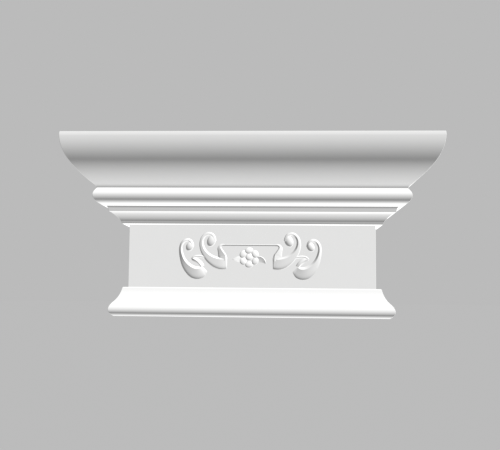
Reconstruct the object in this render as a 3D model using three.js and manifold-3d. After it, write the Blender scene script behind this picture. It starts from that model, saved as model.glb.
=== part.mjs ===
// Pilaster capital: a flat-backed half capital, one casting.
// A moulded crown and a base moulding run round three sides of a plain frieze block,
// mitred at the corners, and the frieze carries a low relief of scroll leaves and a rosette.
//
// Frame, in millimetres: +Z up, the front faces -Y, the wall side faces +Y,
// and the origin is the centre of the flat underside.

import * as THREE from "three";
import { mergeVertices } from "three/addons/utils/BufferGeometryUtils.js";
import Module from "manifold-3d";

const wasm = await Module();
wasm.setup();

// Frieze block
const friezeWidth = 200;
const friezeHeight = 51.07;
const wallDepth = 36;

// Base moulding: how far each edge stands out from the frieze, and how high it lies
const baseHeight = 23.28;
const baseFootOut = 9.57;
const baseNoseOut = 13.43;
const baseNoseUp = 5.28;
const baseThroatOut = 9.85;
const baseThroatUp = 11.54;
const baseLipOut = 3.98;
const baseLipEase = 0.5;
const baseFootShare = 0.38;
const baseShoulderShare = 0.45;
const baseCoveShare = 0.714;

// Soffit with its lip, cove, fillet and quirk between the frieze and the bead.
// Each rise and height is measured from where the form before it ends.
const soffitOut = 6.1;
const soffitRise = 0.1;
const lipLean = 0.25;
const lipHeight = 0.5;
const coveOut = 15;
const coveHeight = 9;
const covePull = [0.2, 0.54];
const filletLean = 0.7;
const filletHeight = 3;
const quirkLean = 0.9;
const quirkHeight = 1.1;

// Bead
const beadOut = 25.5;
const beadUnderHeight = 8.1;
const beadUnderShare = 0.24;
const beadUnderPull = 0.88;
const beadTopHeight = 5.6;
const beadTopOut = 22.68;
const beadTopShare = 0.47;

// Crown: a quirk, one long swell that steepens upwards, and a narrow edge that leans back
const crownOut = 47.65;
const crownHeight = 37;
const crownQuirkLean = 0.3;
const crownQuirkHeight = 0.8;
const crownFootDegrees = 52;
const crownHeadDegrees = 3;
const crownPull = 1.2;
const crownEdgeHeight = 2.3;
const crownEdgeLean = 0.3;

// How many straight facets stand for a curve
const bendFacets = 7;
const crownFacets = 13;
const leafFacets = 30;
const ribbonFacets = 10;
const sideLeafFacets = 6;
const bossFacetsRound = 12;
const bossFacetsOver = 8;

// Relief on the frieze. Its outlines are in modules: 116 modules are its full width.
const ornamentWidth = 116;
const reliefHeight = 2.2;
const ornamentShift = -1.1;
const modulesAcross = 116;
const friezeMiddleModule = 48.815;
const embed = 1;

const moduleSize = ornamentWidth / modulesAcross;
const friezeTop = baseHeight + friezeHeight;
const ornamentLift = baseHeight + friezeHeight / 2 - friezeMiddleModule * moduleSize;

// Profile of the mouldings as [out, up] points from the underside to the top

// A curve that leaves towards a corner point and arrives from it, without its first point.
// A pull above 1 draws it nearer to the corner.
function bend(start, corner, end, facets = bendFacets, pull = 1) {
  const points = [];
  for (let i = 1; i <= facets; i++) {
    const t = i / facets;
    const shares = [(1 - t) ** 2, 2 * t * (1 - t) * pull, t * t];
    const whole = shares[0] + shares[1] + shares[2];
    const mixed = [0, 1].map((k) => shares[0] * start[k] + shares[1] * corner[k] + shares[2] * end[k]);
    points.push(mixed.map((value) => value / whole));
  }
  return points;
}

function baseProfile() {
  const foot = [baseFootOut, 0];
  const nose = [baseNoseOut, baseNoseUp];
  const throat = [baseThroatOut, baseThroatUp];
  const lip = [baseLipOut, baseHeight - baseLipEase];
  const lowCorner = [baseNoseOut, baseFootShare * baseNoseUp];
  const highCorner = [baseNoseOut, baseNoseUp + baseShoulderShare * (baseThroatUp - baseNoseUp)];
  const throatSlope = (baseThroatUp - highCorner[1]) / (baseNoseOut - baseThroatOut);
  const coveRun = baseCoveShare * (baseThroatOut - baseLipOut);
  const coveCorner = [baseThroatOut - coveRun, baseThroatUp + throatSlope * coveRun];
  return [
    foot,
    ...bend(foot, lowCorner, nose),
    ...bend(nose, highCorner, throat),
    ...bend(throat, coveCorner, lip),
    [baseLipOut - baseLipEase, baseHeight],
    [0, baseHeight],
  ];
}

function neckProfile() {
  const soffit = [soffitOut, friezeTop + soffitRise];
  const coveFoot = [soffitOut + lipLean, soffit[1] + lipHeight];
  const coveTop = [coveOut, coveFoot[1] + coveHeight];
  const coveCorner = [
    coveFoot[0] + covePull[0] * (coveOut - coveFoot[0]),
    coveFoot[1] + covePull[1] * coveHeight,
  ];
  const filletTop = [coveOut + filletLean, coveTop[1] + filletHeight];
  return [
    [0, friezeTop],
    soffit,
    coveFoot,
    ...bend(coveFoot, coveCorner, coveTop),
    filletTop,
    [filletTop[0] + quirkLean, filletTop[1] + quirkHeight],
  ];
}

function beadProfile(start) {
  const nose = [beadOut, start[1] + beadUnderHeight];
  const underCorner = [beadOut, start[1] + beadUnderShare * beadUnderHeight];
  const top = [beadTopOut, nose[1] + beadTopHeight];
  const topCorner = [beadOut, nose[1] + beadTopShare * beadTopHeight];
  return [
    ...bend(start, underCorner, nose, bendFacets, beadUnderPull),
    ...bend(nose, topCorner, top),
  ];
}

function crownProfile(start) {
  const foot = [start[0] + crownQuirkLean, start[1] + crownQuirkHeight];
  const head = [crownOut, foot[1] + crownHeight];
  const footRun = Math.tan(THREE.MathUtils.degToRad(crownFootDegrees));
  const headRun = Math.tan(THREE.MathUtils.degToRad(crownHeadDegrees));
  const cornerRise = (head[0] - foot[0] - headRun * crownHeight) / (footRun - headRun);
  const corner = [foot[0] + footRun * cornerRise, foot[1] + cornerRise];
  return [
    foot,
    ...bend(foot, corner, head, crownFacets, crownPull),
    [crownOut - crownEdgeLean, head[1] + crownEdgeHeight],
  ];
}

function wholeProfile() {
  const points = [...baseProfile(), ...neckProfile()];
  points.push(...beadProfile(points.at(-1)));
  points.push(...crownProfile(points.at(-1)));
  return points;
}

// Meshes and solids

function geometryOf(points, triangles) {
  const geometry = new THREE.BufferGeometry();
  geometry.setAttribute("position", new THREE.Float32BufferAttribute(points.flat(), 3));
  geometry.setIndex(triangles.flat());
  return geometry;
}

function solidOf(geometry) {
  const bare = geometry.clone();
  bare.deleteAttribute("normal");
  bare.deleteAttribute("uv");
  const merged = mergeVertices(bare, 1e-4);
  return new wasm.Manifold(
    new wasm.Mesh({
      numProp: 3,
      vertProperties: new Float32Array(merged.attributes.position.array),
      triVerts: new Uint32Array(merged.index.array),
    })
  );
}

// The profile carried round three sides and closed flat at the wall
function mitredBody(profile) {
  const half = friezeWidth / 2;
  const points = profile.flatMap(([out, up]) => [
    [-half - out, wallDepth, up],
    [-half - out, -out, up],
    [half + out, -out, up],
    [half + out, wallDepth, up],
  ]);
  const triangles = [];
  for (let i = 0; i + 1 < profile.length; i++) {
    for (let side = 0; side < 3; side++) {
      const low = 4 * i + side;
      triangles.push([low, low + 1, low + 5], [low, low + 5, low + 4]);
    }
  }
  const last = 4 * (profile.length - 1);
  triangles.push([0, 3, 2], [0, 2, 1]);
  triangles.push([last, last + 1, last + 2], [last, last + 2, last + 3]);
  const right = profile.map((p, i) => 4 * i + 3);
  const left = profile.map((p, i) => 4 * i).reverse();
  const backLoop = [...right, ...left];
  const flat = backLoop.map((k) => new THREE.Vector2(points[k][0], points[k][2]));
  for (const [a, b, c] of THREE.ShapeUtils.triangulateShape(flat, [])) {
    triangles.push([backLoop[a], backLoop[c], backLoop[b]]);
  }
  return solidOf(geometryOf(points, triangles));
}

// Cross-sections of the relief, from one foot over the crest to the other.
// across runs -1 to 0 on the inner side and 0 to 1 on the outer side, up is a share of the height.
// The outer side falls straight by one share and by a power of the way across for the rest.
const fallShare = 0.95;
const acrossPlaces = [-1, -0.5, 0, 0.4, 0.75, 0.9, 1];

function sectionOf(innerPower, straightShare, outerPower) {
  return acrossPlaces.map((across) => {
    const inner = fallShare * Math.abs(across) ** innerPower;
    const outer = straightShare * across + (fallShare - straightShare) * across ** outerPower;
    return [across, 1 - (across < 0 ? inner : outer)];
  });
}

const leafSection = sectionOf(1.3, 0.24, 10);
const bladeSection = sectionOf(1.3, 0.65, 8);
const ridgeSection = sectionOf(1, 0.95, 1);
const roundSection = sectionOf(2.4, 0, 2.4);
const hollowSection = sectionOf(1, 1.6, 2);

// A tapered sweep over the frieze. Each mark is [x, z, inner width, outer width, height] in modules,
// with heights as shares of reliefHeight. The outer side lies to the right of the way it runs.
function sweep(marks, section, steps) {
  const line = new THREE.CatmullRomCurve3(marks.map(([x, z]) => new THREE.Vector3(x, z, 0)));
  const sizes = new THREE.CatmullRomCurve3(marks.map(([, , i, o, h]) => new THREE.Vector3(i, o, h)));
  line.curveType = "catmullrom";
  sizes.curveType = "catmullrom";
  const ring = section.length + 2;
  const points = [];
  const triangles = [];
  for (let k = 0; k <= steps; k++) {
    const t = k / steps;
    const at = line.getPoint(t);
    const way = line.getTangent(t);
    const size = sizes.getPoint(t);
    const place = (across, up) => {
      const reach = across * (across < 0 ? size.x : size.y);
      points.push([at.x + reach * way.y, up, at.y - reach * way.x]);
    };
    place(-1, -embed / reliefHeight);
    section.forEach(([across, up]) => place(across, up * size.z));
    place(1, -embed / reliefHeight);
  }
  for (let k = 0; k < steps; k++) {
    for (let j = 0; j < ring; j++) {
      const a = k * ring + j;
      const b = k * ring + ((j + 1) % ring);
      triangles.push([a, b, b + ring], [a, b + ring, a + ring]);
    }
  }
  const end = steps * ring;
  for (let j = 1; j + 1 < ring; j++) {
    triangles.push([0, j + 1, j], [end, end + j, end + j + 1]);
  }
  return { points, triangles };
}

// Places relief points given as [module x, share of relief height, module z] on the frieze
function onFrieze({ points, triangles }, mirrored) {
  const side = mirrored ? -1 : 1;
  const placed = points.map(([x, up, z]) => [
    side * x * moduleSize + ornamentShift,
    -up * reliefHeight,
    z * moduleSize + ornamentLift,
  ]);
  const turned = mirrored ? triangles.map(([a, b, c]) => [a, c, b]) : triangles;
  return solidOf(geometryOf(placed, turned));
}

// A boss: a full-cheeked dome, turned in the plane of the frieze.
// Its crest leans to the left and down for each unit that it rises.
function boss([x, z], [along, across, height], turn, fullness, [leanLeft, leanDown]) {
  const geometry = new THREE.SphereGeometry(1, bossFacetsRound, bossFacetsOver);
  const position = geometry.attributes.position;
  for (let i = 0; i < position.count; i++) {
    const rise = position.getY(i);
    position.setY(i, Math.sign(rise) * Math.abs(rise) ** fullness);
  }
  geometry.scale(along * moduleSize, height * reliefHeight, across * moduleSize);
  geometry.rotateY(turn);
  geometry.applyMatrix4(new THREE.Matrix4().makeShear(0, 0, leanLeft, leanDown, 0, 0));
  geometry.translate(x * moduleSize + ornamentShift, 0, z * moduleSize + ornamentLift);
  return solidOf(geometry);
}

// Scroll leaves: each has a wide blunt foot and tapers up into a curl, with marks along its crest
const innerLeaf = [
  [18.4, 46.5, 1.5, 7.7, 0.05],
  [19.1, 46.5, 1.6, 7.9, 0.59],
  [21.0, 46.4, 1.6, 8.4, 0.77],
  [24.0, 46.3, 1.7, 8.4, 0.91],
  [27.4, 46.9, 1.7, 7.5, 0.95],
  [31.2, 48.4, 1.7, 5.9, 0.95],
  [34.8, 51.0, 1.6, 4.2, 0.95],
  [37.5, 54.4, 1.5, 3.1, 0.95],
  [38.9, 58.5, 1.4, 2.4, 0.95],
  [38.7, 62.3, 1.3, 1.9, 0.95],
  [37.0, 65.2, 1.2, 1.8, 0.91],
  [34.2, 66.8, 1.2, 1.7, 0.91],
  [31.2, 66.1, 1.1, 1.7, 0.91],
  [29.6, 63.8, 1.1, 1.8, 0.91],
  [29.3, 61.2, 1.1, 2.0, 0.86],
];
const outerLeaf = [
  [38.3, 40.2, 0.6, 4.8, 0.05],
  [39.2, 39.4, 1.4, 6.6, 0.59],
  [41.4, 38.4, 2.0, 7.9, 0.91],
  [44.6, 38.5, 2.2, 7.8, 1.0],
  [48.0, 40.1, 2.1, 6.4, 1.0],
  [51.4, 42.9, 1.8, 4.6, 0.95],
  [54.0, 46.6, 1.6, 3.0, 0.95],
  [55.6, 51.0, 1.4, 2.1, 0.95],
  [56.1, 55.0, 1.2, 1.7, 0.91],
  [55.3, 58.4, 1.1, 1.7, 0.91],
  [53.3, 60.9, 1.1, 1.6, 0.91],
  [50.6, 61.7, 1.1, 1.6, 0.86],
  [48.5, 60.7, 1.1, 1.6, 0.86],
  [47.3, 58.6, 1.0, 1.6, 0.86],
  [47.2, 56.6, 1.0, 1.7, 0.82],
];

// Ribbons that tie the leaves together and to the straight line
const lineRibbon = [
  [19.7, 45.0, 1.0, 6.6, 0.86],
  [20.0, 49.2, 1.0, 6.3, 0.86],
  [21.5, 51.6, 1.0, 5.2, 0.82],
  [22.9, 53.6, 1.0, 3.8, 0.73],
  [23.9, 55.3, 1.0, 2.7, 0.59],
  [23.8, 57.0, 0.9, 1.6, 0.41],
  [22.4, 58.0, 0.9, 0.9, 0.3],
  [20.6, 58.25, 0.95, 0.4, 0.24],
];
const upperRibbon = [
  [33.6, 47.6, 1.0, 1.1, 0.77],
  [37.2, 48.1, 1.1, 1.0, 0.68],
  [41.2, 48.7, 1.1, 1.0, 0.64],
  [44.4, 48.5, 1.0, 1.0, 0.68],
  [46.4, 47.5, 0.8, 0.9, 0.68],
  [47.6, 46.3, 0.3, 0.4, 0.41],
];
const lowerRibbon = [
  [47.6, 47.0, 0.9, 0.3, 0.36],
  [46.6, 46.9, 1.6, 1.0, 0.73],
  [44.9, 46.0, 1.7, 1.8, 0.86],
  [42.6, 44.4, 1.4, 2.4, 0.95],
  [40.6, 42.4, 1.0, 2.6, 1.0],
  [39.0, 40.0, 0.8, 2.4, 0.95],
];
const straightLine = [
  [22.0, 58.25, 0.95, 0.4, 0.24],
  [-22.0, 58.25, 0.95, 0.4, 0.24],
];

// The small domes in which the curls end, as [x, z, along, across, height, turn in degrees]
const curlEnds = [
  [31.4, 61.3, 4.9, 3.5, 1.05, 112],
  [49.0, 56.6, 3.9, 3.0, 0.95, 115],
];
const curlFullness = 0.9;
const curlLean = [0, 0];

// Rosette: petals round a button, and a small leaf at each side. Sizes are [along, across, height].
const rosetteMiddle = [-0.5, 48];
const petalCount = 6;
const petalReach = 5.65;
const petalFirstTurn = 91;
const petalSize = [2.6, 3.25, 0.73];
const buttonMiddle = [-0.2, 48.5];
const buttonSize = [3, 2.8, 0.86];
const flowerFullness = 0.8;
const flowerLean = [0.55, 0.5];
const rightLeaf = [
  [6.0, 48.8, 0.5, 3.5, 0.41],
  [9.0, 48.4, 0.5, 4.4, 0.45],
  [10.9, 47.1, 0.5, 4.4, 0.43],
  [12.2, 45.2, 0.5, 3.2, 0.32],
  [12.8, 43.2, 0.3, 0.8, 0.1],
];
const leftLeaf = [
  [-6.6, 44.4, 0.5, 4.2, 0.45],
  [-9.4, 44.8, 0.5, 4.4, 0.55],
  [-11.6, 45.5, 0.5, 3.3, 0.55],
  [-13.1, 46.1, 0.5, 1.8, 0.41],
  [-14.1, 46.6, 0.2, 0.3, 0.14],
];

function rosette() {
  const [x, z] = rosetteMiddle;
  const solids = [boss(buttonMiddle, buttonSize, 0, flowerFullness, flowerLean)];
  for (let k = 0; k < petalCount; k++) {
    const turn = THREE.MathUtils.degToRad(petalFirstTurn + (360 / petalCount) * k);
    const place = [x + petalReach * Math.cos(turn), z + petalReach * Math.sin(turn)];
    solids.push(boss(place, petalSize, -turn, flowerFullness, flowerLean));
  }
  return solids;
}

function relief() {
  const solids = [
    onFrieze(sweep(straightLine, ridgeSection, 1), false),
    onFrieze(sweep(rightLeaf, hollowSection, sideLeafFacets), false),
    onFrieze(sweep(leftLeaf, bladeSection, sideLeafFacets), false),
    ...rosette(),
  ];
  const strands = [
    [innerLeaf, leafSection, leafFacets],
    [outerLeaf, bladeSection, leafFacets],
    [lineRibbon, bladeSection, ribbonFacets],
    [upperRibbon, roundSection, ribbonFacets],
    [lowerRibbon, bladeSection, ribbonFacets],
  ];
  for (const mirrored of [false, true]) {
    const side = mirrored ? -1 : 1;
    for (const [marks, section, facets] of strands) {
      solids.push(onFrieze(sweep(marks, section, facets), mirrored));
    }
    for (const [x, z, along, across, height, degrees] of curlEnds) {
      const turn = -side * THREE.MathUtils.degToRad(degrees);
      solids.push(boss([side * x, z], [along, across, height], turn, curlFullness, curlLean));
    }
  }
  return solids;
}

function joined(solids) {
  return solids.reduce((whole, solid) => whole.add(solid));
}

function meshFrom(solid, name, material) {
  const { numProp, vertProperties, triVerts } = solid.getMesh();
  const geometry = new THREE.BufferGeometry();
  const positions = new Float32Array((vertProperties.length / numProp) * 3);
  for (let i = 0; i < positions.length / 3; i++) {
    positions.set(vertProperties.subarray(i * numProp, i * numProp + 3), 3 * i);
  }
  geometry.setAttribute("position", new THREE.BufferAttribute(positions, 3));
  geometry.setIndex(Array.from(triVerts));
  geometry.computeVertexNormals();
  const mesh = new THREE.Mesh(geometry, material);
  mesh.name = name;
  return mesh;
}

const mattWhite = new THREE.MeshStandardMaterial({ color: 0xe9e9e8, roughness: 0.7, metalness: 0 });

const capital = meshFrom(
  joined([mitredBody(wholeProfile()), ...relief()]),
  "pilaster_capital",
  mattWhite
);
capital.position.y = -(wallDepth - baseFootOut) / 2;

const model = new THREE.Group();
model.add(capital);

export default model;
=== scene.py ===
"""A pilaster capital in matte white: a flat-backed half capital, cast in one piece.

The mouldings are one profile carried round three sides, mitred at the corners. The frieze
carries a low relief: scroll leaves and ribbons each side of a rosette, under a straight
line. Sizes are in millimetres, and they become metres where a mesh is made.
"""

import logging
import math
from dataclasses import dataclass, field
from enum import Enum
from typing import Any, Iterable, Mapping, Union

import bmesh
import bpy
from mathutils import Matrix, Vector


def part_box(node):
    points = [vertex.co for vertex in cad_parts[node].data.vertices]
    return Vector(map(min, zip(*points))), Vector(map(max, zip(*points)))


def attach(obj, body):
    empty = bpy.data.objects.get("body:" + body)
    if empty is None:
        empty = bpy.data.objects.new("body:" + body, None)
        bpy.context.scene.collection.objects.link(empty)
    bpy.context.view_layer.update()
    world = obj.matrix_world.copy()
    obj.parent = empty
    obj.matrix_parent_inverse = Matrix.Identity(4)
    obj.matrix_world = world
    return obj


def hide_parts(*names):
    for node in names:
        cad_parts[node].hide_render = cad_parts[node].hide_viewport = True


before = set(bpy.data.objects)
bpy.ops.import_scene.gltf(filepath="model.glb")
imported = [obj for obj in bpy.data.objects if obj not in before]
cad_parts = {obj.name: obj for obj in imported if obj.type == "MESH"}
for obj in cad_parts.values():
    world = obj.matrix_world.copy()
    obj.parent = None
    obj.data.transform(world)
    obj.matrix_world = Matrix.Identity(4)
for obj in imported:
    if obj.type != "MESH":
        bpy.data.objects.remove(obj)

LOG = logging.getLogger("pilaster_capital")
MM = 0.001
BODY = "root"
NODE = "pilaster_capital"
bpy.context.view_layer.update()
WELD = 1e-7
POINT_GAP = 0.001
FALL_AT_FOOT = 0.95

Point = tuple[float, float]
Mark = tuple[float, float, float, float, float]


# Node trees


class Wire:
    """A node's output, so that sums on it are written as Python expressions."""

    def __init__(self, graph: "Graph", socket: bpy.types.NodeSocket) -> None:
        """Keeps the tree and the output.

        Args:
            graph: the tree that the output belongs to.
            socket: the output.
        """
        self.graph = graph
        self.socket = socket

    def _math(self, operation: str, first: "Operand", second: "Operand") -> "Wire":
        """Adds one Math node.

        Args:
            operation: the Math node's operation.
            first: its first value or wire.
            second: its second value or wire.

        Returns:
            The node's output.
        """
        return self.graph.node("ShaderNodeMath", {"operation": operation}, {0: first, 1: second})

    def __add__(self, other: "Operand") -> "Wire":
        """Adds a number or a wire."""
        return self._math("ADD", self, other)

    __radd__ = __add__

    def __sub__(self, other: "Operand") -> "Wire":
        """Takes a number or a wire away."""
        return self._math("SUBTRACT", self, other)

    def __rsub__(self, other: "Operand") -> "Wire":
        """Takes this from a number."""
        return self._math("SUBTRACT", other, self)

    def __mul__(self, other: "Operand") -> "Wire":
        """Multiplies by a number or a wire."""
        return self._math("MULTIPLY", self, other)

    __rmul__ = __mul__


Operand = Union[Wire, float]


class Graph:
    """A shader or geometry node tree that is being built."""

    def __init__(self, tree: bpy.types.NodeTree) -> None:
        """Keeps the tree.

        Args:
            tree: the tree to add nodes to.
        """
        self.tree = tree

    def node(
        self,
        kind: str,
        settings: Mapping[str, Any] | None = None,
        sockets: Mapping[int | str, Any] | None = None,
        output: int | str = 0,
    ) -> Wire:
        """Adds a node, sets it and feeds its sockets.

        Args:
            kind: the node's type.
            settings: its own settings, which are set first.
            sockets: values or wires, by the input's place or name.
            output: which output is wanted.

        Returns:
            That output, or a wire with no socket where the node has none.
        """
        made = self.tree.nodes.new(kind)
        for name, value in (settings or {}).items():
            setattr(made, name, value)
        for key, value in (sockets or {}).items():
            if isinstance(value, Wire):
                self.tree.links.new(value.socket, made.inputs[key])
            else:
                made.inputs[key].default_value = value
        return Wire(self, made.outputs[output] if len(made.outputs) else None)

    def vector(self, operation: str, first: Any, second: Any) -> Wire:
        """Adds one Vector Math node.

        Args:
            operation: its operation.
            first: its first vector or wire.
            second: its second vector or wire.

        Returns:
            The resulting vector.
        """
        return self.node("ShaderNodeVectorMath", {"operation": operation}, {0: first, 1: second})

    def scaled(self, vector: Any, factor: Operand) -> Wire:
        """Adds a Vector Math node that scales a vector.

        Args:
            vector: the vector or wire.
            factor: the number or wire to scale it by.

        Returns:
            The scaled vector.
        """
        sockets = {0: vector, "Scale": factor}
        return self.node("ShaderNodeVectorMath", {"operation": "SCALE"}, sockets)


class GeometryTree(Graph):
    """A Geometry Nodes tree with named inputs."""

    def __init__(self, name: str, inputs: Mapping[str, str]) -> None:
        """Makes the tree and its sockets.

        Args:
            name: the tree's name.
            inputs: the kind of socket for each input's name.
        """
        super().__init__(bpy.data.node_groups.new(name, "GeometryNodeTree"))
        self.identifiers: dict[str, str] = {}
        for label, kind in {"Geometry": "NodeSocketGeometry", **inputs}.items():
            made = self.tree.interface.new_socket(label, in_out="INPUT", socket_type=kind)
            self.identifiers[label] = made.identifier
        self.tree.interface.new_socket("Geometry", in_out="OUTPUT", socket_type="NodeSocketGeometry")

    def input(self, label: str) -> Wire:
        """Gives one of the tree's inputs."""
        return self.node("NodeGroupInput", output=label)

    def attribute(self, name: str, kind: str = "FLOAT") -> Wire:
        """Reads a named attribute.

        Args:
            name: the attribute's name.
            kind: FLOAT or FLOAT_VECTOR.

        Returns:
            Its value at each point.
        """
        return self.node("GeometryNodeInputNamedAttribute", {"data_type": kind}, {"Name": name})

    def stored(self, geometry: Wire, name: str, value: Wire) -> Wire:
        """Stores a vector at each point under a name.

        Args:
            geometry: what to store it on.
            name: the attribute's name.
            value: the vector.

        Returns:
            The geometry with the attribute.
        """
        settings = {"data_type": "FLOAT_VECTOR", "domain": "POINT"}
        sockets = {"Geometry": geometry, "Name": name, "Value": value}
        return self.node("GeometryNodeStoreNamedAttribute", settings, sockets)

    def section_curve(self) -> Wire:
        """Gives the cross-section object's line as a curve."""
        section = self.node(
            "GeometryNodeObjectInfo", sockets={"Object": self.input("Section")}, output="Geometry"
        )
        return self.node("GeometryNodeMeshToCurve", sockets={"Mesh": section})

    def finish(self, geometry: Wire) -> None:
        """Ends the tree with real instances and the material.

        Args:
            geometry: what the tree made.
        """
        real = self.node("GeometryNodeRealizeInstances", sockets={"Geometry": geometry})
        dressed = self.node(
            "GeometryNodeSetMaterial", sockets={"Geometry": real, "Material": self.input("Finish")}
        )
        self.node("NodeGroupOutput", sockets={"Geometry": dressed})

    def baked(self, piece: bpy.types.Object, values: Mapping[str, Any]) -> bpy.types.Object:
        """Runs the tree on an object and keeps the result as its plain mesh.

        Args:
            piece: the object whose mesh goes in.
            values: a value for each named input.

        Returns:
            The same object, with the result as its mesh and no modifier.
        """
        modifier = piece.modifiers.new("made", "NODES")
        modifier.node_group = self.tree
        for label, value in values.items():
            modifier[self.identifiers[label]] = value
        return plain(piece)


def plain(piece: bpy.types.Object) -> bpy.types.Object:
    """Turns an object's modifiers into its own mesh.

    Args:
        piece: an object with modifiers.

    Returns:
        The same object, with no modifiers.
    """
    bpy.context.view_layer.update()
    graph = bpy.context.evaluated_depsgraph_get()
    made = bpy.data.meshes.new_from_object(piece.evaluated_get(graph))
    piece.modifiers.clear()
    old = piece.data
    piece.data = made
    bpy.data.meshes.remove(old)
    return piece


def linked(name: str, mesh: bpy.types.Mesh) -> bpy.types.Object:
    """Makes an object for a mesh and puts it in the scene.

    Args:
        name: the object's name.
        mesh: its mesh.

    Returns:
        The object, at the origin.
    """
    piece = bpy.data.objects.new(name, mesh)
    bpy.context.scene.collection.objects.link(piece)
    return piece


def line_object(
    name: str, places: Iterable[tuple], values: Mapping[str, Iterable], closed: bool
) -> bpy.types.Object:
    """Makes a line of edges that carries values at its points.

    Args:
        name: the object's name.
        places: the points.
        values: numbers or vectors at the points, by name.
        closed: whether the last point joins the first.

    Returns:
        The line's object.
    """
    points = [Vector(p) for p in places]
    edges = [(i, i + 1) for i in range(len(points) - 1)]
    if closed:
        edges.append((len(points) - 1, 0))
    mesh = bpy.data.meshes.new(name)
    mesh.from_pydata(points, edges, [])
    for label, row in values.items():
        numbers = list(row)
        if isinstance(numbers[0], (tuple, Vector)):
            attribute = mesh.attributes.new(label, "FLOAT_VECTOR", "POINT")
            attribute.data.foreach_set("vector", [x for v in numbers for x in v])
        else:
            mesh.attributes.new(label, "FLOAT", "POINT").data.foreach_set("value", numbers)
    return linked(name, mesh)


def turned_out(piece: bpy.types.Object) -> bpy.types.Object:
    """Makes a closed mesh's faces point outwards.

    Args:
        piece: an object with a closed mesh.

    Returns:
        The same object.
    """
    work = bmesh.new()
    work.from_mesh(piece.data)
    bmesh.ops.remove_doubles(work, verts=work.verts, dist=WELD)
    if work.calc_volume(signed=True) < 0:
        bmesh.ops.reverse_faces(work, faces=work.faces)
    work.to_mesh(piece.data)
    work.free()
    return piece


# Curves of the profile


def after_start(curve: Iterable[Point]) -> list[Point]:
    """Leaves out a curve's first point, which the profile already has."""
    return list(curve)[1:]


def bend(
    start: Point, corner: Point, end: Point, facets: int, pull: float = 1.0
) -> list[Point]:
    """A curve that leaves towards a corner point and arrives from it.

    Args:
        start: where it starts.
        corner: the point that both of its ends aim at.
        end: where it ends.
        facets: how many straight pieces stand for it.
        pull: how strongly the corner draws the curve.

    Returns:
        Its points after the start.
    """
    points = []
    for i in range(facets + 1):
        t = i / facets
        shares = ((1 - t) ** 2, 2 * t * (1 - t) * pull, t * t)
        whole = sum(shares)
        sums = (shares[0] * a + shares[1] * b + shares[2] * c for a, b, c in zip(start, corner, end))
        points.append(tuple(s / whole for s in sums))
    return after_start(points)


# Finish


@dataclass(frozen=True)
class CastWhite:
    """The white primed surface of a smooth rigid casting.

    Attributes:
        white: the body colour.
        shade: how much darker the faint cloudiness goes, as a share.
        roughness: the middle of the roughness.
        roughness_play: how far the roughness moves either way.
        cloud: size of the cloudiness, in patches to the metre.
        cloud_detail: how many finer layers the cloudiness has.
        grain: size of the primer's grain, in grains to the metre.
        grain_detail: how many finer layers the grain has.
        grain_depth: height of that grain, in millimetres.
        grain_sheen: how far the grain moves the roughness.
        ripple: size of the casting's slow unevenness, in waves to the metre.
        ripple_detail: how many finer layers the unevenness has.
        ripple_depth: height of the unevenness, in millimetres.
        coarseness: how strong each finer layer of a pattern is.
        ior: the primer's refractive index.
        specular: strength of its mirror-like part.
    """

    white: tuple[float, float, float] = (0.83, 0.83, 0.826)
    shade: float = 0.022
    roughness: float = 0.78
    roughness_play: float = 0.07
    cloud: float = 38.0
    cloud_detail: float = 3.0
    grain: float = 1700.0
    grain_detail: float = 2.0
    grain_depth: float = 0.012
    grain_sheen: float = 0.05
    ripple: float = 90.0
    ripple_detail: float = 1.0
    ripple_depth: float = 0.02
    coarseness: float = 0.55
    ior: float = 1.45
    specular: float = 0.08

    def noise(self, graph: Graph, place: Wire, scale: float, detail: float) -> Wire:
        """Adds a noise texture in the object's own space.

        Args:
            graph: the material's tree.
            place: the object coordinates.
            scale: patches to the metre.
            detail: how many finer layers it has.

        Returns:
            The noise, from 0 to 1.
        """
        sockets = {"Vector": place, "Scale": scale, "Detail": detail, "Roughness": self.coarseness}
        return graph.node("ShaderNodeTexNoise", {"noise_dimensions": "3D"}, sockets)

    def material(self) -> bpy.types.Material:
        """Makes the material.

        Returns:
            A white with faint cloudiness, an uneven sheen and a fine primer grain.
        """
        made = bpy.data.materials.new("cast_white")
        made.use_nodes = True
        made.node_tree.nodes.clear()
        graph = Graph(made.node_tree)
        place = graph.node("ShaderNodeTexCoord", output="Object")
        clouds = self.noise(graph, place, self.cloud, self.cloud_detail)
        grain = self.noise(graph, place, self.grain, self.grain_detail)
        ripple = self.noise(graph, place, self.ripple, self.ripple_detail)
        darker = (*(c * (1 - self.shade) for c in self.white), 1.0)
        colour = graph.node(
            "ShaderNodeMix",
            {"data_type": "RGBA"},
            {0: clouds, 6: (*self.white, 1.0), 7: darker},
            output=2,
        )
        sheen = self.roughness + (clouds - 0.5) * (2 * self.roughness_play)
        sheen = sheen + (grain - 0.5) * self.grain_sheen
        height = grain * (self.grain_depth * MM) + ripple * (self.ripple_depth * MM)
        sockets = {"Strength": 1.0, "Distance": 1.0, "Height": height}
        bump = graph.node("ShaderNodeBump", sockets=sockets)
        shader = graph.node(
            "ShaderNodeBsdfPrincipled",
            sockets={
                "Base Color": colour,
                "Roughness": sheen,
                "IOR": self.ior,
                "Specular IOR Level": self.specular,
                "Normal": bump,
            },
        )
        graph.node("ShaderNodeOutputMaterial", sockets={"Surface": shader})
        return made


# Mouldings


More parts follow.
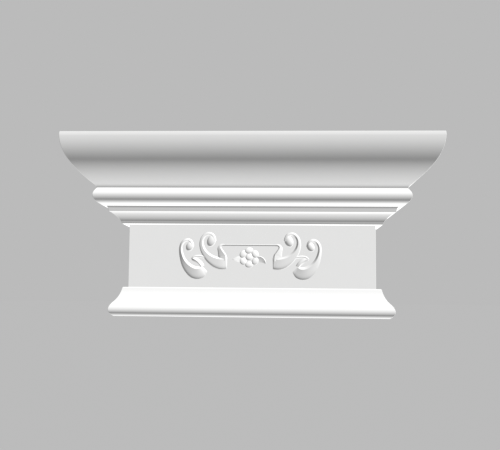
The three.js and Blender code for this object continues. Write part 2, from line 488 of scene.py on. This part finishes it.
@dataclass
class Mouldings:
    """The casting's body: one profile carried round three sides.

    The base's points are [out, up], from the frieze and the underside. Above the frieze a
    point is a step from the one before it, and a value named out is measured from the frieze.
    A corner, a share and a pull shape a curve between its ends. The crown's reach, the overall
    height and the depth come from the frame.
    """

    low: Vector
    high: Vector
    crown_out: float = 47.65
    base_height: float = 23.28
    base_foot_out: float = 9.57
    base_foot_share: float = 0.38
    base_nose: Point = (13.43, 5.28)
    base_throat: Point = (9.85, 11.54)
    base_lip_out: float = 3.98
    base_lip_ease: float = 0.5
    base_shoulder_share: float = 0.45
    base_cove_share: float = 0.714
    frieze_height: float = 51.07
    soffit: Point = (5.1, 0.25)
    soffit_lip: Point = (0.35, 0.58)
    cove_riser: Point = (0.4, 0.88)
    cove_out: float = 14.5
    cove_height: float = 7.83
    cove_corner: Point = (0.17, 0.62)
    cove_pull: float = 0.5
    fillet: Point = (0.72, 2.75)
    fillet_quirk: Point = (1.1, 1.4)
    bead_out: float = 25.5
    bead_under_height: float = 7.93
    bead_under_share: float = 0.02
    bead_under_pull: float = 0.66
    bead_top_height: float = 5.57
    bead_top_out: float = 22.6
    bead_top_share: float = 0.41
    crown_quirk: Point = (0.42, 1.0)
    crown_lip: Point = (0.78, 0.88)
    crown_foot_degrees: float = 52.0
    crown_head_degrees: float = 3.0
    crown_pull: float = 1.2
    crown_edge_height: float = 2.3
    crown_edge_lean: float = 0.3
    bend_facets: int = 16
    crown_facets: int = 40
    arris_width: float = 0.2
    arris_facets: int = 2
    arris_least_degrees: float = 28.0

    @property
    def half_width(self) -> float:
        """Half the frieze's width, in millimetres."""
        return self.high.x / MM - self.crown_out

    @property
    def face(self) -> float:
        """Where the frieze's face lies along Y, in millimetres."""
        return self.low.y / MM + self.crown_out

    @property
    def wall(self) -> float:
        """Where the flat back lies along Y, in millimetres."""
        return self.high.y / MM

    @property
    def frieze_top(self) -> float:
        """How high the frieze's top lies, in millimetres."""
        return self.base_height + self.frieze_height

    def base_profile(self) -> list[Point]:
        """Profile of the base moulding: a nose over a turned-in foot, and a cove up to the lip.

        Returns:
            Its [out, up] points, from the underside to the frieze.
        """
        foot, nose, throat = (self.base_foot_out, 0.0), self.base_nose, self.base_throat
        low_corner = (nose[0], self.base_foot_share * nose[1])
        high_corner = (nose[0], nose[1] + self.base_shoulder_share * (throat[1] - nose[1]))
        throat_slope = (throat[1] - high_corner[1]) / (nose[0] - throat[0])
        run = self.base_cove_share * (throat[0] - self.base_lip_out)
        cove_corner = (throat[0] - run, throat[1] + throat_slope * run)
        lip = (self.base_lip_out, self.base_height - self.base_lip_ease)
        return [
            foot,
            *bend(foot, low_corner, nose, self.bend_facets),
            *bend(nose, high_corner, throat, self.bend_facets),
            *bend(throat, cove_corner, lip, self.bend_facets),
            (self.base_lip_out - self.base_lip_ease, self.base_height),
            (0.0, self.base_height),
        ]

    def neck_profile(self) -> list[Point]:
        """Profile between the frieze and the bead.

        It has a soffit with a lip, a riser, a cove, and a fillet with its quirk.

        Returns:
            Its [out, up] points.
        """
        soffit = (self.soffit[0], self.frieze_top + self.soffit[1])
        lip = (soffit[0] + self.soffit_lip[0], soffit[1] + self.soffit_lip[1])
        cove_foot = (lip[0] + self.cove_riser[0], lip[1] + self.cove_riser[1])
        cove_top = (self.cove_out, cove_foot[1] + self.cove_height)
        corner = (
            cove_foot[0] + self.cove_corner[0] * (self.cove_out - cove_foot[0]),
            cove_foot[1] + self.cove_corner[1] * self.cove_height,
        )
        fillet_top = (cove_top[0] + self.fillet[0], cove_top[1] + self.fillet[1])
        return [
            (0.0, self.frieze_top),
            soffit,
            lip,
            cove_foot,
            *bend(cove_foot, corner, cove_top, self.bend_facets, self.cove_pull),
            fillet_top,
            (fillet_top[0] + self.fillet_quirk[0], fillet_top[1] + self.fillet_quirk[1]),
        ]

    def bead_profile(self, start: Point) -> list[Point]:
        """Profile of the bead.

        Args:
            start: where the fillet ends.

        Returns:
            The bead's points after that.
        """
        nose = (self.bead_out, start[1] + self.bead_under_height)
        under_corner = (self.bead_out, start[1] + self.bead_under_share * self.bead_under_height)
        top = (self.bead_top_out, nose[1] + self.bead_top_height)
        top_corner = (self.bead_out, nose[1] + self.bead_top_share * self.bead_top_height)
        return [
            *bend(start, under_corner, nose, self.bend_facets, self.bead_under_pull),
            *bend(nose, top_corner, top, self.bend_facets),
        ]

    def crown_profile(self, start: Point) -> list[Point]:
        """Profile of the crown: a quirk, a lip, a long swell and a narrow leaning edge.

        Args:
            start: where the bead ends.

        Returns:
            The crown's points after that.
        """
        lip = (start[0] + self.crown_quirk[0], start[1] + self.crown_quirk[1])
        foot = (lip[0] + self.crown_lip[0], lip[1] + self.crown_lip[1])
        top = (self.crown_out, self.high.z / MM)
        head = (self.crown_out, top[1] - self.crown_edge_height)
        foot_run = math.tan(math.radians(self.crown_foot_degrees))
        head_run = math.tan(math.radians(self.crown_head_degrees))
        across, rise = head[0] - foot[0], head[1] - foot[1]
        corner_rise = (across - head_run * rise) / (foot_run - head_run)
        corner = (foot[0] + foot_run * corner_rise, foot[1] + corner_rise)
        return [
            lip,
            foot,
            *bend(foot, corner, head, self.crown_facets, self.crown_pull),
            (top[0] - self.crown_edge_lean, top[1]),
        ]

    def profile(self) -> list[Point]:
        """Profile of the whole casting.

        Returns:
            Its [out, up] points, from the underside to the top.
        """
        points = [*self.base_profile(), *self.neck_profile()]
        points += self.bead_profile(points[-1])
        return points + self.crown_profile(points[-1])

    def run_tree(self) -> GeometryTree:
        """Makes the tree that carries the plan up a profile, mitred at its corners.

        Returns:
            The tree. The profile's line carries out and up, the plan's carries corner and mitre.
        """
        inputs = {"Section": "NodeSocketObject", "Finish": "NodeSocketMaterial"}
        tree = GeometryTree("mitred_run", inputs)
        sockets = {"Mesh": tree.input("Geometry")}
        profile = tree.node("GeometryNodeMeshToCurve", sockets=sockets)
        sockets = {"Curve": profile, "Profile Curve": tree.section_curve(), "Fill Caps": True}
        run = tree.node("GeometryNodeCurveToMesh", sockets=sockets)
        outwards = tree.scaled(tree.attribute("mitre", "FLOAT_VECTOR"), tree.attribute("out"))
        upwards = tree.scaled((0.0, 0.0, 1.0), tree.attribute("up"))
        place = tree.vector("ADD", tree.attribute("corner", "FLOAT_VECTOR"), outwards)
        place = tree.vector("ADD", place, upwards)
        sockets = {"Geometry": run, "Position": place}
        tree.finish(tree.node("GeometryNodeSetPosition", sockets=sockets))
        return tree

    def build(self, finish: bpy.types.Material) -> bpy.types.Object:
        """Makes the body.

        Args:
            finish: its material.

        Returns:
            One closed mesh, its arrises eased.
        """
        profile = self.profile()
        places = [(0, 0, (up + POINT_GAP * i) * MM) for i, (out, up) in enumerate(profile)]
        values = {"out": [out * MM for out, up in profile], "up": [up * MM for out, up in profile]}
        body = line_object("mouldings", places, values, closed=False)
        half, face, wall = self.half_width * MM, self.face * MM, self.wall * MM
        corners = [(-half, wall, 0.0), (-half, face, 0.0), (half, face, 0.0), (half, wall, 0.0)]
        mitres = [(-1.0, 0.0, 0.0), (-1.0, -1.0, 0.0), (1.0, -1.0, 0.0), (1.0, 0.0, 0.0)]
        plan = line_object("plan", corners, {"corner": corners, "mitre": mitres}, closed=True)
        self.run_tree().baked(body, {"Section": plan, "Finish": finish})
        bpy.data.objects.remove(plan)
        turned_out(body)
        ease = body.modifiers.new("ease", "BEVEL")
        ease.width = self.arris_width * MM
        ease.segments = self.arris_facets
        ease.limit_method = "ANGLE"
        ease.angle_limit = math.radians(self.arris_least_degrees)
        return plain(body)


# Relief


class Section(Enum):
    """Cross-sections of the relief: each is a rule from across to a share of the height.

    Across runs from -1 at the inner foot, over the crest at 0, to 1 at the outer foot. The
    values are the power of the inner side's fall, the share of the outer side's fall that is
    straight, and the power of the rest.
    """

    LEAF = (1.3, 0.24, 10.0)
    BLADE = (1.3, 0.65, 8.0)
    RIDGE = (1.0, 0.95, 1.0)
    ROUND = (2.4, 0.0, 2.4)
    HOLLOW = (1.0, 1.6, 2.0)

    def rise(self, across: float) -> float:
        """Gives the height at a place.

        Args:
            across: the place, from -1 to 1.

        Returns:
            The height there, as a share of the crest's.
        """
        inner_power, straight, power = self.value
        if across < 0:
            return 1 - FALL_AT_FOOT * abs(across) ** inner_power
        return 1 - straight * across - (FALL_AT_FOOT - straight) * across**power

    def outline(self, inner: int = 8, outer: int = 14) -> list[Point]:
        """Gives the section as points, finer near the inner foot.

        Args:
            inner: how many points stand inside the crest.
            outer: how many stand outside it.

        Returns:
            Points of [across, share of the height], with a share of -1 where it is let in.
        """
        places = [-1 + i / inner for i in range(inner)]
        places += [i / outer for i in range(outer + 1)]
        return [(-1.0, -1.0), *[(a, self.rise(a)) for a in places], (1.0, -1.0)]


@dataclass
class Strand:
    """One swept form of the relief.

    Attributes:
        name: what it is.
        section: its cross-section.
        marks: its crest, as [x, z, inner width, outer width, height] in millimetres. The
            outer side lies to the right of the way it runs.
        steps: how many lengths it is cut into.
    """

    name: str
    section: Section
    marks: list[Mark]
    steps: int


@dataclass
class ScrollRelief:
    """The low relief on the frieze, made for the right half and mirrored to the left.

    Places are measured from the relief's middle and from the underside. The end of a curl is
    given as [x, z, half length, half width, height, turn].
    """

    mouldings: Mouldings
    shift: float = -1.1
    let_in: float = 1.0
    rosette_middle: Point = (-0.5, 48.0)
    petals: int = 6
    petal_reach: float = 5.65
    petal_first_turn: float = 91.0
    petal_size: tuple[float, float, float] = (2.6, 3.25, 1.6)
    button_middle: Point = (-0.2, 48.5)
    button_size: tuple[float, float, float] = (3.0, 2.8, 1.9)
    flower_fullness: float = 0.8
    flower_lean: Point = (0.55, 0.5)
    dome_sides: int = 40
    dome_rings: int = 24
    curl_fullness: float = 0.9
    curl_ends: tuple[tuple[float, ...], ...] = (
        (31.4, 61.3, 4.9, 3.5, 2.3, 112.0),
        (49.0, 56.6, 3.9, 3.0, 2.1, 115.0),
    )
    line: list[Mark] = field(
        default_factory=lambda: [
            (22.0, 58.25, 0.95, 0.4, 0.52),
            (0.0, 58.25, 0.95, 0.4, 0.52),
            (-22.0, 58.25, 0.95, 0.4, 0.52),
        ]
    )
    inner_leaf: list[Mark] = field(
        default_factory=lambda: [
            (18.4, 46.5, 1.5, 7.7, 0.1),
            (19.1, 46.5, 1.6, 7.9, 1.3),
            (21.0, 46.4, 1.6, 8.4, 1.7),
            (24.0, 46.3, 1.7, 8.4, 2.0),
            (27.4, 46.9, 1.7, 7.5, 2.1),
            (31.2, 48.4, 1.7, 5.9, 2.1),
            (34.8, 51.0, 1.6, 4.2, 2.1),
            (37.5, 54.4, 1.5, 3.1, 2.1),
            (38.9, 58.5, 1.4, 2.4, 2.1),
            (38.7, 62.3, 1.3, 1.9, 2.1),
            (37.0, 65.2, 1.2, 1.8, 2.0),
            (34.2, 66.8, 1.2, 1.7, 2.0),
            (31.2, 66.1, 1.1, 1.7, 2.0),
            (29.6, 63.8, 1.1, 1.8, 2.0),
            (29.3, 61.2, 1.1, 2.0, 1.9),
        ]
    )
    outer_leaf: list[Mark] = field(
        default_factory=lambda: [
            (38.3, 40.2, 0.6, 4.8, 0.1),
            (39.2, 39.4, 1.4, 6.6, 1.3),
            (41.4, 38.4, 2.0, 7.9, 2.0),
            (44.6, 38.5, 2.2, 7.8, 2.2),
            (48.0, 40.1, 2.1, 6.4, 2.2),
            (51.4, 42.9, 1.8, 4.6, 2.1),
            (54.0, 46.6, 1.6, 3.0, 2.1),
            (55.6, 51.0, 1.4, 2.1, 2.1),
            (56.1, 55.0, 1.2, 1.7, 2.0),
            (55.3, 58.4, 1.1, 1.7, 2.0),
            (53.3, 60.9, 1.1, 1.6, 2.0),
            (50.6, 61.7, 1.1, 1.6, 1.9),
            (48.5, 60.7, 1.1, 1.6, 1.9),
            (47.3, 58.6, 1.0, 1.6, 1.9),
            (47.2, 56.6, 1.0, 1.7, 1.8),
        ]
    )
    line_ribbon: list[Mark] = field(
        default_factory=lambda: [
            (19.7, 45.0, 1.0, 6.6, 1.9),
            (20.0, 49.2, 1.0, 6.3, 1.9),
            (21.5, 51.6, 1.0, 5.2, 1.8),
            (22.9, 53.6, 1.0, 3.8, 1.6),
            (23.9, 55.3, 1.0, 2.7, 1.3),
            (23.8, 57.0, 0.9, 1.6, 0.9),
            (22.4, 58.0, 0.9, 0.9, 0.65),
            (20.6, 58.25, 0.95, 0.4, 0.52),
        ]
    )
    upper_ribbon: list[Mark] = field(
        default_factory=lambda: [
            (33.6, 47.6, 1.0, 1.1, 1.7),
            (37.2, 48.1, 1.1, 1.0, 1.5),
            (41.2, 48.7, 1.1, 1.0, 1.4),
            (44.4, 48.5, 1.0, 1.0, 1.5),
            (46.4, 47.5, 0.8, 0.9, 1.5),
            (47.6, 46.3, 0.3, 0.4, 0.9),
        ]
    )
    lower_ribbon: list[Mark] = field(
        default_factory=lambda: [
            (47.6, 47.0, 0.9, 0.3, 0.8),
            (46.6, 46.9, 1.6, 1.0, 1.6),
            (44.9, 46.0, 1.7, 1.8, 1.9),
            (42.6, 44.4, 1.4, 2.4, 2.1),
            (40.6, 42.4, 1.0, 2.6, 2.2),
            (39.0, 40.0, 0.8, 2.4, 2.1),
        ]
    )
    right_leaf: list[Mark] = field(
        default_factory=lambda: [
            (6.0, 48.8, 0.5, 3.5, 0.9),
            (9.0, 48.4, 0.5, 4.4, 1.0),
            (10.9, 47.1, 0.5, 4.4, 0.95),
            (12.2, 45.2, 0.5, 3.2, 0.7),
            (12.8, 43.2, 0.3, 0.8, 0.2),
        ]
    )
    left_leaf: list[Mark] = field(
        default_factory=lambda: [
            (-6.6, 44.4, 0.5, 4.2, 1.0),
            (-9.4, 44.8, 0.5, 4.4, 1.2),
            (-11.6, 45.5, 0.5, 3.3, 1.2),
            (-13.1, 46.1, 0.5, 1.8, 0.9),
            (-14.1, 46.6, 0.2, 0.3, 0.3),
        ]
    )

    def sweep_tree(self) -> GeometryTree:
        """Makes the tree that sweeps a section along a smooth crest, tapering as it goes.

        Returns:
            The tree. The crest's line carries inner, outer and height, the section's carries
            across and rise.
        """
        inputs = {
            "Section": "NodeSocketObject",
            "Steps": "NodeSocketInt",
            "Outer side": "NodeSocketFloat",
            "Let in": "NodeSocketFloat",
            "Finish": "NodeSocketMaterial",
        }
        tree = GeometryTree("tapered_sweep", inputs)
        crest = tree.node("GeometryNodeMeshToCurve", sockets={"Mesh": tree.input("Geometry")})
        sockets = {"Curve": crest}
        crest = tree.node("GeometryNodeCurveSplineType", {"spline_type": "CATMULL_ROM"}, sockets)
        sockets = {"Curve": crest, "Count": tree.input("Steps")}
        crest = tree.node("GeometryNodeResampleCurve", {"mode": "COUNT"}, sockets)
        crest = tree.stored(crest, "place", tree.node("GeometryNodeInputPosition"))
        crest = tree.stored(crest, "way", tree.node("GeometryNodeInputTangent"))
        sockets = {"Curve": crest, "Profile Curve": tree.section_curve(), "Fill Caps": True}
        swept = tree.node("GeometryNodeCurveToMesh", sockets=sockets)
        outwards = (0.0, -1.0, 0.0)
        right = tree.vector("CROSS_PRODUCT", tree.attribute("way", "FLOAT_VECTOR"), outwards)
        across, rise = tree.attribute("across"), tree.attribute("rise")
        outside = tree.node("ShaderNodeMath", {"operation": "GREATER_THAN"}, {0: across, 1: 0.0})
        width = tree.attribute("outer") * outside + tree.attribute("inner") * (1 - outside)
        sideways = tree.scaled(right, across * width * tree.input("Outer side"))
        raised = tree.node("ShaderNodeMath", {"operation": "GREATER_THAN"}, {0: rise, 1: 0.0})
        height = tree.attribute("height") * rise * raised - tree.input("Let in") * (1 - raised)
        place = tree.vector("ADD", tree.attribute("place", "FLOAT_VECTOR"), sideways)
        place = tree.vector("ADD", place, tree.scaled(outwards, height))
        sockets = {"Geometry": swept, "Position": place}
        tree.finish(tree.node("GeometryNodeSetPosition", sockets=sockets))
        return tree

    def petal_tree(self) -> GeometryTree:
        """Makes the tree that sets petals in a ring, each turned outwards.

        Returns:
            The tree. Its geometry is one petal at the middle, which points along X.
        """
        inputs = {
            "Count": "NodeSocketInt",
            "Reach": "NodeSocketFloat",
            "First turn": "NodeSocketFloat",
            "Finish": "NodeSocketMaterial",
        }
        tree = GeometryTree("petal_ring", inputs)
        points = tree.node("GeometryNodePoints", sockets={"Count": tree.input("Count")})
        count = tree.input("Count")
        step = tree.node("ShaderNodeMath", {"operation": "DIVIDE"}, {0: math.tau, 1: count})
        angle = tree.node("GeometryNodeInputIndex") * step + tree.input("First turn")
        across = tree.node("ShaderNodeMath", {"operation": "COSINE"}, {0: angle})
        upward = tree.node("ShaderNodeMath", {"operation": "SINE"}, {0: angle})
        reach = tree.input("Reach")
        sockets = {"X": across * reach, "Z": upward * reach}
        place = tree.node("ShaderNodeCombineXYZ", sockets=sockets)
        sockets = {"Geometry": points, "Position": place}
        points = tree.node("GeometryNodeSetPosition", sockets=sockets)
        turn = tree.node("ShaderNodeCombineXYZ", sockets={"Y": 0.0 - angle})
        sockets = {"Points": points, "Instance": tree.input("Geometry"), "Rotation": turn}
        tree.finish(tree.node("GeometryNodeInstanceOnPoints", sockets=sockets))
        return tree

    def boss(
        self, name: str, size: tuple[float, float, float], fullness: float
    ) -> bpy.types.Object:
        """Makes a full-cheeked dome about the origin, to be let into the frieze.

        Args:
            name: the object's name.
            size: its half sizes along, across and out, in millimetres.
            fullness: how round its cheeks are; 1 is an ellipsoid, and less is fuller.

        Returns:
            The dome and its like below, as one closed form.
        """
        work = bmesh.new()
        sizes = {"u_segments": self.dome_sides, "v_segments": self.dome_rings, "radius": 1}
        bmesh.ops.create_uvsphere(work, **sizes)
        along, across, out = (s * MM for s in size)
        for vert in work.verts:
            rise = math.copysign(abs(vert.co.z) ** fullness, vert.co.z)
            vert.co = Vector((vert.co.x * along, -rise * out, vert.co.y * across))
        mesh = bpy.data.meshes.new(name)
        work.to_mesh(mesh)
        work.free()
        return turned_out(linked(name, mesh))

    def settle(
        self,
        piece: bpy.types.Object,
        x: float,
        z: float,
        turn: float = 0.0,
        lean: Point = (0.0, 0.0),
    ) -> bpy.types.Object:
        """Moves a mesh made about the origin to its place on the frieze.

        Args:
            piece: the object.
            x: its place from the relief's middle, in millimetres.
            z: its height, in millimetres.
            turn: how far it turns on the frieze from along X up to Z, in degrees.
            lean: how far its crest leans to the left and down, for each unit that it rises.

        Returns:
            The same object, its place in its mesh.
        """
        place = Vector((x + self.shift, self.mouldings.face, z)) * MM
        turned = Matrix.Rotation(math.radians(-turn), 4, "Y")
        leant = Matrix(((1, lean[0], 0, 0), (0, 1, 0, 0), (0, lean[1], 1, 0), (0, 0, 0, 1)))
        piece.data.transform(Matrix.Translation(place) @ leant @ turned)
        return piece

    def strand(
        self, strand: Strand, side: int, tree: GeometryTree, finish: bpy.types.Material
    ) -> bpy.types.Object:
        """Sweeps one strand on one side.

        Args:
            strand: the strand.
            side: 1 for the right half, -1 for the left.
            tree: the sweeping tree.
            finish: the material.

        Returns:
            Its closed mesh.
        """
        outline = strand.section.outline()
        places = [(a * MM, r * MM, 0) for a, r in outline]
        values = {"across": [a for a, r in outline], "rise": [r for a, r in outline]}
        section = line_object("section_line", places, values, closed=True)
        face = self.mouldings.face * MM
        places = [((side * m[0] + self.shift) * MM, face, m[1] * MM) for m in strand.marks]
        rows = zip(*(m[2:] for m in strand.marks))
        values = {n: [v * MM for v in row] for n, row in zip(("inner", "outer", "height"), rows)}
        crest = line_object(strand.name, places, values, closed=False)
        values = {
            "Section": section,
            "Steps": strand.steps,
            "Outer side": float(side),
            "Let in": self.let_in * MM,
            "Finish": finish,
        }
        tree.baked(crest, values)
        bpy.data.objects.remove(section)
        return turned_out(crest)

    def rosette(self, finish: bpy.types.Material) -> list[bpy.types.Object]:
        """Makes the rosette's petals and button.

        Args:
            finish: the material.

        Returns:
            The ring of petals and the button.
        """
        ring = self.boss("petals", self.petal_size, self.flower_fullness)
        values = {
            "Count": self.petals,
            "Reach": self.petal_reach * MM,
            "First turn": math.radians(self.petal_first_turn),
            "Finish": finish,
        }
        self.petal_tree().baked(ring, values)
        button = self.boss("button", self.button_size, self.flower_fullness)
        places = ((ring, self.rosette_middle), (button, self.button_middle))
        return [self.settle(piece, *place, lean=self.flower_lean) for piece, place in places]

    def strands(self) -> list[Strand]:
        """Lists the strands of the right half."""
        return [
            Strand("inner_leaf", Section.LEAF, self.inner_leaf, 220),
            Strand("outer_leaf", Section.BLADE, self.outer_leaf, 220),
            Strand("line_ribbon", Section.BLADE, self.line_ribbon, 60),
            Strand("upper_ribbon", Section.ROUND, self.upper_ribbon, 48),
            Strand("lower_ribbon", Section.BLADE, self.lower_ribbon, 48),
        ]

    def build(self, finish: bpy.types.Material) -> list[bpy.types.Object]:
        """Makes the whole relief.

        Args:
            finish: the material.

        Returns:
            Closed meshes that are let into the frieze.
        """
        tree = self.sweep_tree()
        single = [
            Strand("line", Section.RIDGE, self.line, 8),
            Strand("right_leaf", Section.HOLLOW, self.right_leaf, 40),
            Strand("left_leaf", Section.BLADE, self.left_leaf, 40),
        ]
        made = [self.strand(strand, 1, tree, finish) for strand in single]
        made += self.rosette(finish)
        for side in (1, -1):
            made += [self.strand(strand, side, tree, finish) for strand in self.strands()]
            for x, z, along, across, out, turn in self.curl_ends:
                end = self.boss("curl_end", (along, across, out), self.curl_fullness)
                made.append(self.settle(end, side * x, z, side * turn))
        return made


# Casting


@dataclass
class Casting:
    """The whole capital: mouldings and relief in one closed piece."""

    mouldings: Mouldings
    relief: ScrollRelief
    finish: CastWhite = CastWhite()
    crease_degrees: float = 13.0

    def union(self, body: bpy.types.Object, forms: list[bpy.types.Object]) -> bpy.types.Object:
        """Joins the relief to the body.

        Args:
            body: the mouldings.
            forms: the relief's closed meshes.

        Returns:
            The body, now with the relief in its mesh.
        """
        for form in forms:
            join = body.modifiers.new("join", "BOOLEAN")
            join.operation = "UNION"
            join.solver = "MANIFOLD"
            join.object = form
            plain(body)
            bpy.data.objects.remove(form)
        return body

    def smooth(self, piece: bpy.types.Object) -> None:
        """Shades curved stretches smooth and keeps arrises crisp.

        Args:
            piece: the joined casting.
        """
        mesh = piece.data
        for name in [a.name for a in mesh.attributes if not (a.is_required or a.is_internal)]:
            mesh.attributes.remove(mesh.attributes[name])
        mesh.shade_smooth()
        mesh.set_sharp_from_angle(angle=math.radians(self.crease_degrees))

    def build(self) -> bpy.types.Object:
        """Makes the casting.

        Returns:
            The finished piece.
        """
        material = self.finish.material()
        body = self.mouldings.build(material)
        LOG.info("mouldings: %d faces", len(body.data.polygons))
        capital = self.union(body, self.relief.build(material))
        capital.name = capital.data.name = "capital_casting"
        self.smooth(capital)
        capital.data.materials.clear()
        capital.data.materials.append(material)
        capital.visible_diffuse = False
        LOG.info("capital_casting: %d faces", len(capital.data.polygons))
        return capital


# Studio


@dataclass
class Studio:
    """The camera, a plain pale floor, an even fill and light from two opposite sides."""

    backdrop_grey: float = 0.497
    fill_grey: float = 0.31
    floor_white: float = 0.405
    floor_radius: float = 12.0
    floor_sides: int = 96
    key_towards: tuple[float, float, float] = (0.68, -0.50, 0.745)
    key_strength: float = 4.4
    under_towards: tuple[float, float, float] = (0.2, 0.647, -0.96)
    under_strength: float = 5.6
    softness_degrees: float = 4.0
    camera_place: tuple[float, float, float] = (22.46, -661.17, 12.04)
    camera_turn_degrees: float = 3.176
    camera_lift_degrees: float = 5.482
    camera_roll_degrees: float = 0.587
    focal_pixels: float = 801.6
    frame_pixels: float = 500.0
    middle_pixel: float = 235.0
    sensor_width: float = 36.0
    nearest: float = 0.01
    farthest: float = 100.0

    def camera(self) -> None:
        """Makes the camera, at the photograph's viewing angle."""
        data = bpy.data.cameras.new("camera")
        data.sensor_width = self.sensor_width
        data.lens = self.focal_pixels / self.frame_pixels * data.sensor_width
        data.shift_x = 0.5 - self.middle_pixel / self.frame_pixels
        data.clip_start = self.nearest
        data.clip_end = self.farthest
        camera = linked("camera", data)
        turn = Matrix.Rotation(math.radians(self.camera_turn_degrees), 4, "Z")
        lift = Matrix.Rotation(math.radians(90 + self.camera_lift_degrees), 4, "X")
        roll = Matrix.Rotation(math.radians(self.camera_roll_degrees), 4, "Z")
        place = Matrix.Translation(Vector(self.camera_place) * MM)
        camera.matrix_world = place @ turn @ lift @ roll
        bpy.context.scene.camera = camera

    def sun(self, name: str, towards: tuple[float, float, float], strength: float) -> None:
        """Adds one even light that casts no shadow.

        Args:
            name: its name.
            towards: the direction that it comes from.
            strength: how strong it is.
        """
        data = bpy.data.lights.new(name, "SUN")
        data.energy = strength
        data.angle = math.radians(self.softness_degrees)
        data.use_shadow = False
        lamp = linked(name, data)
        lamp.matrix_world = Vector(towards).to_track_quat("Z", "Y").to_matrix().to_4x4()

    def world(self) -> None:
        """Makes the backdrop, and the dimmer light that it gives."""
        world = bpy.data.worlds.new("studio")
        world.use_nodes = True
        world.node_tree.nodes.clear()
        graph = Graph(world.node_tree)
        seen = graph.node("ShaderNodeLightPath", output="Is Camera Ray")
        strength = self.fill_grey + seen * (self.backdrop_grey - self.fill_grey)
        sockets = {"Color": (1.0, 1.0, 1.0, 1.0), "Strength": strength}
        light = graph.node("ShaderNodeBackground", sockets=sockets)
        graph.node("ShaderNodeOutputWorld", sockets={"Surface": light})
        bpy.context.scene.world = world

    def floor(self) -> None:
        """Makes the floor, which the casting stands on."""
        work = bmesh.new()
        sizes = {"segments": self.floor_sides, "radius": self.floor_radius}
        bmesh.ops.create_circle(work, cap_ends=True, **sizes)
        mesh = bpy.data.meshes.new("floor")
        work.to_mesh(mesh)
        work.free()
        made = bpy.data.materials.new("floor_pale")
        made.use_nodes = True
        made.node_tree.nodes.clear()
        graph = Graph(made.node_tree)
        white = (*(self.floor_white,) * 3, 1.0)
        shader = graph.node("ShaderNodeBsdfDiffuse", sockets={"Color": white})
        graph.node("ShaderNodeOutputMaterial", sockets={"Surface": shader})
        mesh.materials.append(made)
        floor = linked("floor", mesh)
        floor.visible_diffuse = False
        floor.visible_glossy = False

    def build(self) -> None:
        """Sets the whole studio up."""
        self.camera()
        self.world()
        self.floor()
        self.sun("key", self.key_towards, self.key_strength)
        self.sun("under", self.under_towards, self.under_strength)
        bpy.context.scene.view_settings.view_transform = "Standard"


def main() -> None:
    """Builds the studio and the casting, and ties the casting to the frame."""
    logging.basicConfig(level=logging.INFO, format="%(name)s: %(message)s")
    Studio().build()
    mouldings = Mouldings(*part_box(NODE))
    capital = Casting(mouldings, ScrollRelief(mouldings)).build()
    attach(capital, BODY)
    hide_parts(NODE)


if __name__ == "__main__":
    main()
